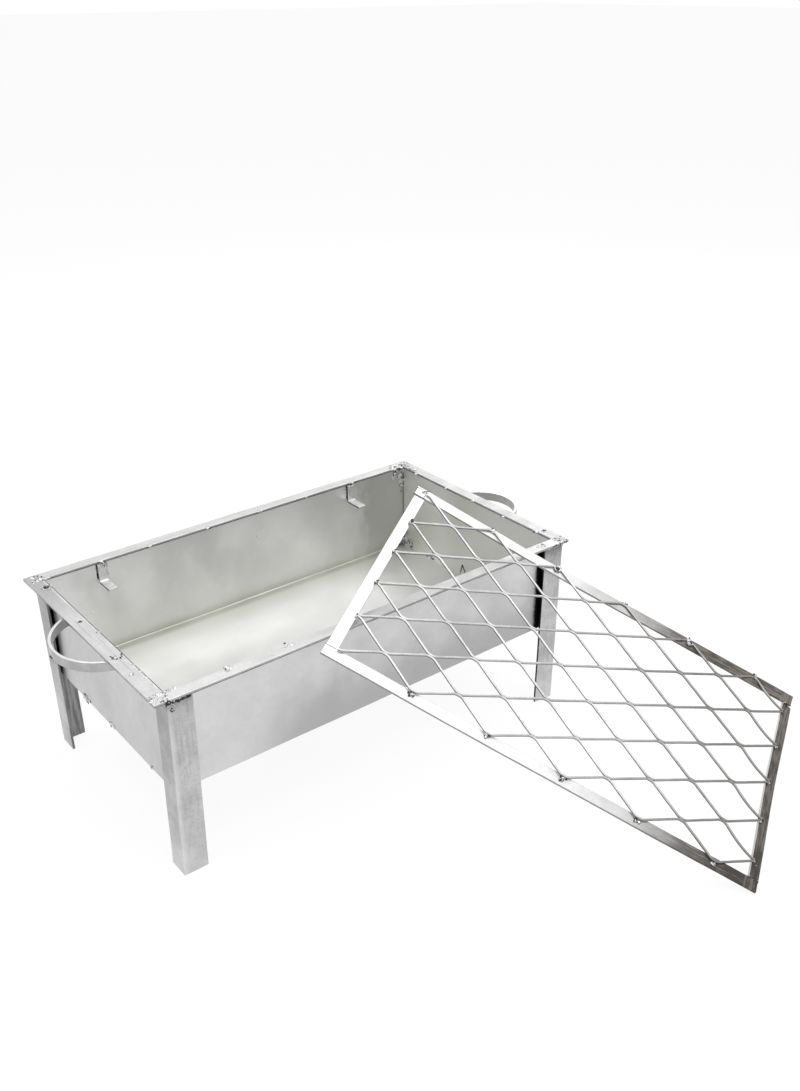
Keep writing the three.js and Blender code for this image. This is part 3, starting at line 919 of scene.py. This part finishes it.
class Welder:
    """Lays drops of weld metal in one shell and flecks of burnt scale in another."""

    def __init__(self, seed):
        self.dice = random.Random(seed)
        self.metal = bmesh.new()
        self.scale = bmesh.new()

    def chance(self, low, high):
        return self.dice.uniform(low, high)

    def drop(self, shell, centre, normal, radius_mm, flatness):
        turn = normal.to_track_quat("Z", "Y").to_matrix().to_4x4()
        spin = Matrix.Rotation(self.chance(0, math.tau), 4, "Z")
        oval = Matrix.Diagonal((1, self.chance(0.6, 1), flatness, 1))
        shape = Matrix.Translation(centre) @ turn @ spin @ oval
        bmesh.ops.create_icosphere(shell, subdivisions=2, radius=radius_mm * MM, matrix=shape)

    def melt(self, centre, normal, radius_mm, flatness):
        self.drop(self.metal, centre, normal, radius_mm, flatness)

    def burn(self, centre, normal, radius_mm, flatness):
        self.drop(self.scale, centre, normal, radius_mm, flatness)

    def beside(self, centre, normal, spread_mm):
        """A chance point near a centre, on the face that the normal stands on."""
        turn = normal.to_track_quat("Z", "Y")
        way = self.chance(0, math.tau)
        reach = spread_mm * math.sqrt(self.dice.random())
        return centre + turn @ Vector((math.cos(way), math.sin(way), 0)) * reach * MM

    def spot(self, centre, normal, size_mm, drops=4, flecks=3, spatter=2):
        """A tack: overlapping drops, with burnt flecks at its foot and a few loose beads."""
        for _ in range(drops):
            at = self.beside(centre, normal, 0.55 * size_mm)
            self.melt(at, normal, size_mm * self.chance(0.32, 0.56), self.chance(0.6, 0.9))
        for _ in range(flecks):
            at = self.beside(centre, normal, size_mm)
            self.burn(at, normal, max(0.6, size_mm * self.chance(0.16, 0.34)), 0.5)
        for _ in range(spatter):
            at = self.beside(centre, normal, 1.6 * size_mm)
            self.melt(at, normal, self.chance(0.45, 0.7), 0.7)

    def streak(self, start, end, normal, width_mm):
        """A dark line of burnt scale, a little ragged in width."""
        count = max(2, int((end - start).length / (0.6 * width_mm * MM)))
        for step in range(count + 1):
            at = self.beside(start.lerp(end, step / count), normal, 0.15 * width_mm)
            self.burn(at, normal, 0.5 * width_mm * self.chance(0.8, 1.4), 0.4)

    def bead(self, start, end, normal, size_mm, spacing_mm=2.5):
        """A run of weld with rough, uneven steps."""
        count = max(2, int((end - start).length / (spacing_mm * MM)))
        for step in range(count + 1):
            self.spot(start.lerp(end, step / count), normal, size_mm, drops=2, flecks=1, spatter=1)

    def crater(self, centre, normal, radius_mm, count=12):
        """A burnt hole with a raised ring."""
        turn = normal.to_track_quat("Z", "Y")
        for step in range(count):
            way = math.tau * step / count
            rim = centre + turn @ Vector((math.cos(way), math.sin(way), 0)) * 1.15 * radius_mm * MM
            self.melt(rim, normal, 0.32 * radius_mm * self.chance(0.8, 1.3), 0.8)
        self.burn(centre, normal, radius_mm, 0.3)

    def lay(self, name, body, metal_look, scale_look):
        """Makes both shells pieces of the scene."""
        metal = melted(self.metal, name)
        finished(metal, name, body, metal_look, smooth_under=180)
        waver(self.scale, 1.2, 0.2, 5)
        finished(self.scale, f"{name}_scale", body, scale_look, smooth_under=180)


def melted(shell, name, grain_mm=0.4):
    """Fuses overlapping drops into one skin and roughens it."""
    loose = shown(name + "_drops", shell)
    fuse = loose.modifiers.new("fuse", "REMESH")
    fuse.mode = "VOXEL"
    fuse.voxel_size = grain_mm * MM
    loose.modifiers.new("soften", "SMOOTH").iterations = 3
    evaluated = loose.evaluated_get(bpy.context.evaluated_depsgraph_get())
    fused = bmesh.new()
    fused.from_mesh(evaluated.to_mesh())
    evaluated.to_mesh_clear()
    bpy.data.objects.remove(loose)
    waver(fused, 1.6, 0.25, 3)
    return fused


# The rim's tacks, by their place along each side
BACK_TACKS = (84, 144, 221, 292, 361, 430, 480)
FRONT_TACKS = (82, 149, 228)
LEFT_TACKS = (33, 48, 60, 75, 88, 150, 206, 268)
RIGHT_TACKS = (40, 93, 150, 201, 262)
# Its joints, as x, y, spread, drops and dark flecks
RIM_JOINTS = (
    (8, 8, 9, 20, 10),
    (BOX_LENGTH - 9, 8, 9, 14, 12),
    (BOX_LENGTH - 36, 6, 6, 5, 6),
    (9, BOX_WIDTH - 9, 9, 20, 12),
    (BOX_LENGTH - 10, BOX_WIDTH - 10, 9, 18, 12),
)
# Lumps at its back right corner, as x, y and size
RIM_LUMPS = (
    (499, 295, 4.6), (505, 298, 5.2), (518, 298, 5.6), (521, 289, 5), (519, 280, 5.4), (520, 272, 4.2)
)
# Beads over its left corners, as x from and to, y and size
RIM_BEADS = ((14, 24, 291, 4.6), (12, 26, 14, 4))
# Holes burnt through it, as x, y, radius and the radius of the drop in it
RIM_HOLES = ((12, 270, 4.2, 2), (10, 180, 2.7, 0), (524, 34, 2.6, 0))


def weld_rim_tacks(welder):
    """Tacks along the rim's inner edges."""
    for x in BACK_TACKS:
        welder.spot(on_rim(x, BACK_FACE, -0.9), UPWARD, 4.2)
    for x in FRONT_TACKS:
        welder.spot(on_rim(x, RIM_WIDTH - 2.5, -0.6), UPWARD, 5.5, drops=6, flecks=6, spatter=6)
        welder.spot(on_rim(x + 5, RIM_WIDTH - 4, -0.6), UPWARD, 4, drops=3, flecks=4, spatter=4)
    for y in LEFT_TACKS:
        welder.spot(on_rim(RIM_WIDTH + 1, y, -0.9), UPWARD, 3.6)
    for y in RIGHT_TACKS:
        welder.spot(on_rim(RIGHT_EDGE - 0.5, y, -0.9), UPWARD, 4.4)


def weld_rim_joints(welder):
    """Flat drops and dark flecks where the rim's bars meet, and the lumps at its back right corner."""
    for x, y, size, drops, flecks in RIM_JOINTS:
        for _ in range(drops):
            at = welder.beside(on_rim(x, y, -0.1), UPWARD, size)
            welder.melt(at, UPWARD, welder.chance(0.9, 2.4), 0.35)
        for _ in range(flecks):
            start = welder.beside(on_rim(x, y, 0.2), UPWARD, size)
            welder.streak(start, welder.beside(start, UPWARD, 2), UPWARD, welder.chance(0.5, 1.1))
    for x, y, size in RIM_LUMPS:
        welder.spot(on_rim(x, y, 0.6), UPWARD, size, drops=4, flecks=0, spatter=1)
        start = on_rim(x - 0.5 * size, y - 0.7 * size)
        welder.streak(start, on_rim(x + 0.5 * size, y - 0.8 * size), UPWARD, 0.5)


def weld_rim(metal, scale):
    """The rim's tacks and joints, its beads and loops of weld, and the holes burnt through its strips."""
    welder = Welder(5)
    weld_rim_tacks(welder)
    weld_rim_joints(welder)
    for start, end, y, size in RIM_BEADS:
        welder.bead(on_rim(start, y, -0.4), on_rim(end, y, -0.4), UPWARD, size)
    # Two dark loops beside a heavy tack on the left strip
    welder.spot(on_rim(10, 96, -0.4), UPWARD, 5, drops=6, flecks=10)
    welder.streak(on_rim(5, 101, 0.1), on_rim(9, 93, 0.3), UPWARD, 1.3)
    welder.streak(on_rim(12, 92, 0.3), on_rim(16, 99), UPWARD, 1.3)
    welder.spot(on_rim(7, 60, -0.4), UPWARD, 4, drops=2, flecks=2)
    for x, y, radius, plug in RIM_HOLES:
        welder.crater(on_rim(x, y), UPWARD, radius)
        if plug:
            welder.melt(on_rim(x, y, 0.3), UPWARD, plug, 0.5)
    welder.lay("rim_welds", "fire_box", metal, scale)


# Tacks along the right plate's foot, as y and size
FOOT_TACKS = ((281, 6.5), (234, 7.5), (167, 5), (95, 4), (40, 4))
# Lumps down the back right seam and clusters at its foot, as x, z and size, and beside it, as y, z and size
SEAM_LUMPS = (
    (505, 207, 5.5), (500, 204, 4), (511, 203, 5.5), (513, 195, 5.5), (514, 188, 4.2), (515, 179, 3)
)
SEAM_FOOT = ((511, 109, 8.5), (505, 107, 6), (514, 122, 6))
PLATE_FOOT = ((287, 107, 6.5), (280, 104, 6), (274, 104, 4.5))
# Dark gaps over the seam, as x and radius, and drops round them, as x and the place behind the wall's face
SEAM_GAPS = ((507, 1.5), (509.5, 1.9), (512, 1.5))
SEAM_TOP = ((502, -1), (513, -2), (508, 2), (517, -7), (498, 1))
# Tacks under the left plate, as y and size, and specks on the back wall, as x and z
UNDER_TACKS = ((219, 4), (213, 5.6), (207, 4), (152, 4.6), (148, 3.6), (62, 3.4))
WALL_SPECKS = ((285, 183), (66, 156))
# Scorched streaks on the right plate's foot, as y and z from and to
PLATE_STREAKS = ((168, 117, 172, 105), (168, 117, 162, 108), (228, 111, 233, 104))


def weld_back_right_seam(welder):
    """Weld metal up the seam between the back wall and the right plate."""
    for x, z, size in SEAM_LUMPS:
        welder.spot(on_back_wall(x, z, 0.4), FORWARD, size, drops=6, flecks=3, spatter=2)
    for x, z, size in SEAM_FOOT:
        welder.spot(on_back_wall(x, z, 1), FORWARD, size, drops=5, flecks=11, spatter=4)
    for y, z, size in PLATE_FOOT:
        welder.spot(on_right_plate(y, z, 0.4), LEFTWARD, size, drops=5, flecks=8, spatter=4)
    welder.streak(on_back_wall(508, 106, 2), on_back_wall(514, 126, 2), FORWARD, 3)
    foot = on_right_plate(BACK_FACE - 0.5, FLOOR_TOP + 4, 0.2)
    welder.streak(foot, on_right_plate(BACK_FACE - 0.5, RIM_TOP - 10, 0.2), FORWARD, 0.8)
    for x, radius in SEAM_GAPS:
        welder.burn(on_back_wall(x, RIM_TOP - 2.4, 1.2), Vector((0, -0.7, 0.7)), radius, 0.5)
    for x, behind in SEAM_TOP:
        welder.spot(on_rim(x, BACK_FACE + behind, -0.5), UPWARD, 4.4, drops=4, flecks=1, spatter=1)


def weld_left_foot(welder):
    """Tacks under the left plate, specks on the back wall, and the plate's ragged lower edge."""
    for y, size in UNDER_TACKS:
        welder.spot(place(PLATE_OUTER, y, FLOOR_TOP - 0.4), LEFTWARD, size, drops=4, flecks=3, spatter=1)
    for x, z in WALL_SPECKS:
        welder.spot(on_back_wall(x, z), FORWARD, 2.4, drops=2, flecks=0, spatter=1)
    for _ in range(45):
        low = place(PLATE_OUTER + 1, welder.chance(30, 268), FLOOR_TOP - welder.chance(0.4, 1.4))
        welder.melt(low, LEFTWARD, welder.chance(0.6, 1.5), 0.5)


def weld_hanger_tops(welder):
    """Dark scale beside the back hangers, standing for the shade in the gaps at their sides, and a tack
    over each.
    """
    for middle in (HANGER_LEFT, BOX_LENGTH - HANGER_INSET_RIGHT):
        # Painted shade: dark drops down both sides of each hanger
        for side in (-1, 1):
            edge = place(middle + side * (HANGER_WIDTH / 2 + 0.3), BACK_FACE, 0)
            for step in range(9):
                at = edge + Vector((0, -0.1, RIM_TOP - 4 - 2 * step)) * MM
                welder.burn(at, FORWARD, welder.chance(0.8, 1.5), 0.3)
        welder.spot(on_back_wall(middle, RIM_TOP - 3.5, 2.5), FORWARD, 4.4, drops=4, flecks=4)


def weld_tray(metal, scale):
    """Tacks between the floor and the end plates, up the corner seams and over the hangers' tops."""
    welder = Welder(9)
    for y, size in FOOT_TACKS:
        at = on_right_plate(y, FLOOR_TOP + 0.5)
        welder.spot(at, Vector((-0.7, 0, 0.7)), size, drops=6, flecks=8, spatter=4)
    weld_back_right_seam(welder)
    weld_left_foot(welder)
    for start_y, start_z, end_y, end_z in PLATE_STREAKS:
        start = on_right_plate(start_y, start_z, 0.1)
        welder.streak(start, on_right_plate(end_y, end_z, 0.1), LEFTWARD, 1.9)
    weld_hanger_tops(welder)
    welder.lay("tray_welds", "fire_box", metal, scale)


def weld_front_left_leg(welder):
    """A bead over the leg, dark scale standing for the shade in the gap under the rim, and a hole burnt in
    the rim's edge beside it.
    """
    low, high = leg_corners("front_left")
    face = low.y / MM - 0.1
    left = low.x / MM + 3
    right = high.x / MM + 4
    shadow = RIM_TOP - 11.2
    # Painted shadow: a dark streak along the shaded gap under the rim
    welder.streak(place(left + 5, face, shadow), place(right - 3, face, shadow), FORWARD, 3)
    welder.bead(place(left, face, shadow - 1), place(left + 6, face, shadow - 2), FORWARD, 3.2)
    welder.spot(place(left + 5, face, shadow - 7), FORWARD, 3, drops=2, flecks=5, spatter=3)
    # Dark flecks on the leg's left side, partly scale and partly painted shade under the rim
    for _ in range(16):
        at = place(left - 0.1, low.y / MM + welder.chance(0, 22), shadow + welder.chance(-6, 4))
        welder.burn(at, LEFTWARD, welder.chance(0.7, 1.5), 0.4)
    rim_hole = on_rim(13.7, -0.2, -2.2)
    welder.burn(rim_hole, Vector((0, -0.8, 0.6)), 2.9, 0.5)
    welder.melt(rim_hole + Vector((0.2, -1.2, 0.6)) * MM, FORWARD, 0.9, 0.6)
    welder.bead(on_rim(17, 0.4, -2.8), on_rim(24, 0.4, -2.6), FORWARD, 2.2)


def weld_legs(metal, scale):
    """Beads and dark flecks under the rim where the legs meet it, painted shade in the gap over the front
    left leg, and a tack on the back left leg.
    """
    welder = Welder(23)
    weld_front_left_leg(welder)
    low, high = leg_corners("front_right")
    start = on_rim(low.x / MM + 3, low.y / MM, -5)
    welder.bead(start, on_rim(high.x / MM, low.y / MM, -5), FORWARD, 2.6, spacing_mm=3)
    for _ in range(14):
        at = on_rim(welder.chance(505, 527), -0.1, -welder.chance(0.5, 3))
        welder.burn(at, FORWARD, welder.chance(0.6, 1.4), 0.4)
    low, _ = leg_corners("back_left")
    side = low.x / MM - 0.9
    welder.spot(place(side, 279, 120), LEFTWARD, 3.6, drops=3, flecks=8, spatter=2)
    welder.streak(place(side, 273, 121), place(side, 291, 119), LEFTWARD, 2.6)
    welder.lay("leg_welds", "fire_box", metal, scale)


def fill_left_seam(material):
    """Zinc that has run into the slot between the left strip and its plate."""
    shell = bmesh.new()
    start, end = RIM_WIDTH + 1, BACK_FACE - 1
    left, right = RIM_WIDTH - 0.2, PLATE_OUTER + 0.3
    middle = (left + right) / 2
    steps = 90
    rings = []
    for step in range(steps + 1):
        y = start + (end - start) * step / steps
        sag = 0.5 + 0.5 * noise.noise(Vector((y / 7, 0, 0)))
        top = RIM_TOP - 0.1 - 0.4 * sag
        low = top - 1.6
        section = ((left, top), (middle, top - 0.2 * sag), (right, top - 0.1), (right, low), (left, low))
        rings.append([shell.verts.new(place(x, y, z)) for x, z in section])
    join_rings(shell, rings)
    finished(shell, "left_seam_zinc", "fire_box", material)


# Seams between the grate's bars, by their place across it, and the end block at its far upper corner
NEAR_UPPER_SEAM = GRATE_BAR_WIDTH - 1.5
NEAR_LOWER_SEAM = GRATE_BAR_WIDTH + 2.5
FAR_UPPER_SEAM = 248
FAR_LOWER_SEAM = 245.6
BLOCK_END = 260
# Knots on the upper bar, by their row and size
UPPER_KNOTS = ((4, 1.6), (6, 1.7), (8, 2.6))


def grate_streak(welder, start, end, width_mm):
    """A dark line on the bars between two places along and across the grate. Gives back its ends."""
    level = GRATE_BAR_THICKNESS - 0.1
    ends = grate_place(*start, level), grate_place(*end, level)
    welder.streak(*ends, GRATE_UP, width_mm)
    return ends


def weld_strand_tips(welder, level, far_row):
    """Tacks where the expanded metal's tips lie on the frame."""
    tips = [(UPPER_CUT, START_SHORT + row * PITCH_SHORT, 3) for row in range(2, ROWS, 2)]
    tips += [(LOWER_CUT, START_SHORT + row * PITCH_SHORT, 3.6) for row in range(1, ROWS, 2)]
    for column in range(2, COLUMNS, 2):
        along = START_LONG + column * PITCH_LONG
        tips += [(along, START_SHORT - 1.5, 4.2), (along, far_row + 1, 5)]
    for along, across, size in tips:
        tip = mesh_place(along, across, level)
        welder.spot(tip, GRATE_UP, size, drops=4, flecks=3)
        for _ in range(3):
            at = welder.beside(tip + GRATE_UP * 0.9 * MM, GRATE_UP, 0.7 * size)
            welder.burn(at, GRATE_UP, welder.chance(0.7, 1.3), 0.7)


def weld_grate_lumps(welder, level, far_row):
    """Knots on the upper bar, and a burnt ring and a smooth blob on the far one."""
    for row, size in UPPER_KNOTS:
        knot = mesh_place(UPPER_CUT + 0.5, START_SHORT + row * PITCH_SHORT + 2, level + 1.8)
        welder.burn(knot, GRATE_UP, size, 0.7)
        welder.melt(knot - GRATE_ACROSS * 1.7 * size * MM, GRATE_UP, size, 0.6)
        fleck = knot - GRATE_ACROSS * 1.9 * size * MM + GRATE_UP * size * MM
        welder.burn(fleck, GRATE_UP, 0.35 * size, 0.7)
    ring = mesh_place(START_LONG + 4 * PITCH_LONG, far_row - 2.5, level + 1.6)
    welder.crater(ring, GRATE_UP, 3)
    blob = mesh_place(START_LONG + 8 * PITCH_LONG, far_row - 3, level + 1.4)
    welder.melt(blob, GRATE_UP, 4.2, 0.5)
    welder.melt(blob + GRATE_ALONG * 3 * MM, GRATE_UP, 3, 0.5)
    welder.burn(blob + (GRATE_ALONG * 1.5 + GRATE_UP * 1.8) * MM, GRATE_UP, 2, 0.6)


def weld_grate_corners(welder):
    """Seams between the frame's bars, and the end block and stub of wire at its far upper corner."""
    inner = GRATE_BAR_WIDTH
    lower = GRATE_LENGTH - inner + 1
    seams = (
        ((0, NEAR_UPPER_SEAM), (inner, NEAR_UPPER_SEAM)),
        ((1, FAR_UPPER_SEAM), (inner, FAR_UPPER_SEAM)),
        ((lower, NEAR_LOWER_SEAM), (GRATE_LENGTH, NEAR_LOWER_SEAM)),
        ((lower, FAR_LOWER_SEAM), (GRATE_LENGTH, FAR_LOWER_SEAM)),
    )
    for seam in seams:
        start, end = grate_streak(welder, *seam, 1.1)
        for step in range(5):
            at = welder.beside(start.lerp(end, step / 4), GRATE_UP, 1.6)
            welder.melt(at, GRATE_UP, welder.chance(0.6, 1.2), 0.35)
    for along in (inner, 0.5):
        grate_streak(welder, (along, FAR_UPPER_SEAM), (along, BLOCK_END), 0.8)
    grate_streak(welder, (0.5, BLOCK_END), (inner, BLOCK_END), 0.8)
    stub = grate_place(8, 256, GRATE_BAR_THICKNESS + 0.9)
    welder.streak(stub, grate_place(15, 262, GRATE_BAR_THICKNESS + 1.9), GRATE_UP, 1.2)


def weld_grate(metal, scale):
    """Weld metal where the expanded metal is tacked to the frame, and at the frame's corners."""
    welder = Welder(17)
    level = MESH_BASE + 0.4
    far_row = START_SHORT + ROWS * PITCH_SHORT
    weld_strand_tips(welder, level, far_row)
    weld_grate_lumps(welder, level, far_row)
    weld_grate_corners(welder)
    welder.lay("grate_welds", "grate", metal, scale)


# Studio


def make_floor():
    """A wide white floor that keeps a faint shadow of the grill."""
    bpy.ops.mesh.primitive_plane_add(size=STAGE_SIZE, location=(0, 0, -STAGE_GAP))
    floor = bpy.context.object
    floor.name = "studio_floor"
    material = bpy.data.materials.new("studio_white")
    material.use_nodes = True
    nodes = Nodes(material.node_tree)
    paint = nodes.add("BsdfDiffuse", "BSDF", {"Color": grey(0.93)})
    glow = nodes.add("Emission", "Emission", {"Color": grey(1), "Strength": 1.05})
    nodes.show("OutputMaterial", nodes.where_seen(0.85, paint, glow))
    material.cycles.emission_sampling = "NONE"
    floor.data.materials.append(material)
    floor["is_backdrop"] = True


def make_world():
    """Even soft light all round, white where the camera or the metal looks past the floor."""
    world = bpy.data.worlds.new("studio")
    bpy.context.scene.world = world
    world.cycles.sampling_method = "NONE"
    world.use_nodes = True
    nodes = Nodes(world.node_tree)
    dim = nodes.add("Background", "Background", {"Color": grey(0.5)})
    white = nodes.add("Background", "Background", {"Color": grey(1)})
    nodes.show("OutputWorld", nodes.where_seen(1, dim, white))


def make_lights():
    """Two softboxes that look at the middle of the box's front."""
    centre = place(BOX_LENGTH / 2, 0, 100)
    for name, offset, size, power in LIGHTS:
        lamp = bpy.data.lights.new(name, "AREA")
        lamp.shape = "SQUARE"
        lamp.size = size
        lamp.energy = power
        holder = bpy.data.objects.new(name, lamp)
        bpy.context.scene.collection.objects.link(holder)
        holder.location = centre + offset
        holder.rotation_mode = "QUATERNION"
        holder.rotation_quaternion = (centre - holder.location).to_track_quat("-Z", "Y")


def make_camera():
    camera = bpy.data.objects.new("camera", bpy.data.cameras.new("camera"))
    bpy.context.scene.collection.objects.link(camera)
    bpy.context.scene.camera = camera
    camera.data.lens = CAMERA_LENS
    camera.data.sensor_width = CAMERA_SENSOR
    camera.location = place(*CAMERA_PLACE)
    forward = (CAMERA_TARGET - CAMERA_PLACE).normalized()
    camera.rotation_mode = "QUATERNION"
    camera.rotation_quaternion = forward.to_track_quat("-Z", "Y") @ Quaternion(UPWARD, CAMERA_ROLL)


def build():
    make_camera()
    make_world()
    make_lights()
    make_floor()
    weld = weld_steel()
    scorch = scorched_steel()
    rim = rim_steel()
    dress_tray(sheet_steel())
    dress_rim(rim)
    dress_legs(leg_steel())
    dress_handles(bar_steel())
    dress_hangers(hanger_steel())
    dress_grate_frame(grate_bar_steel())
    dress_mesh(strand_steel())
    fill_left_seam(rim)
    weld_rim(weld, scorch)
    weld_tray(weld, scorch)
    weld_legs(weld, scorch)
    weld_grate(weld, scorch)
    bpy.context.scene.view_settings.view_transform = "Standard"


build()
[[list(corner) for corner in box] for box in (cad_box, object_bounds())]
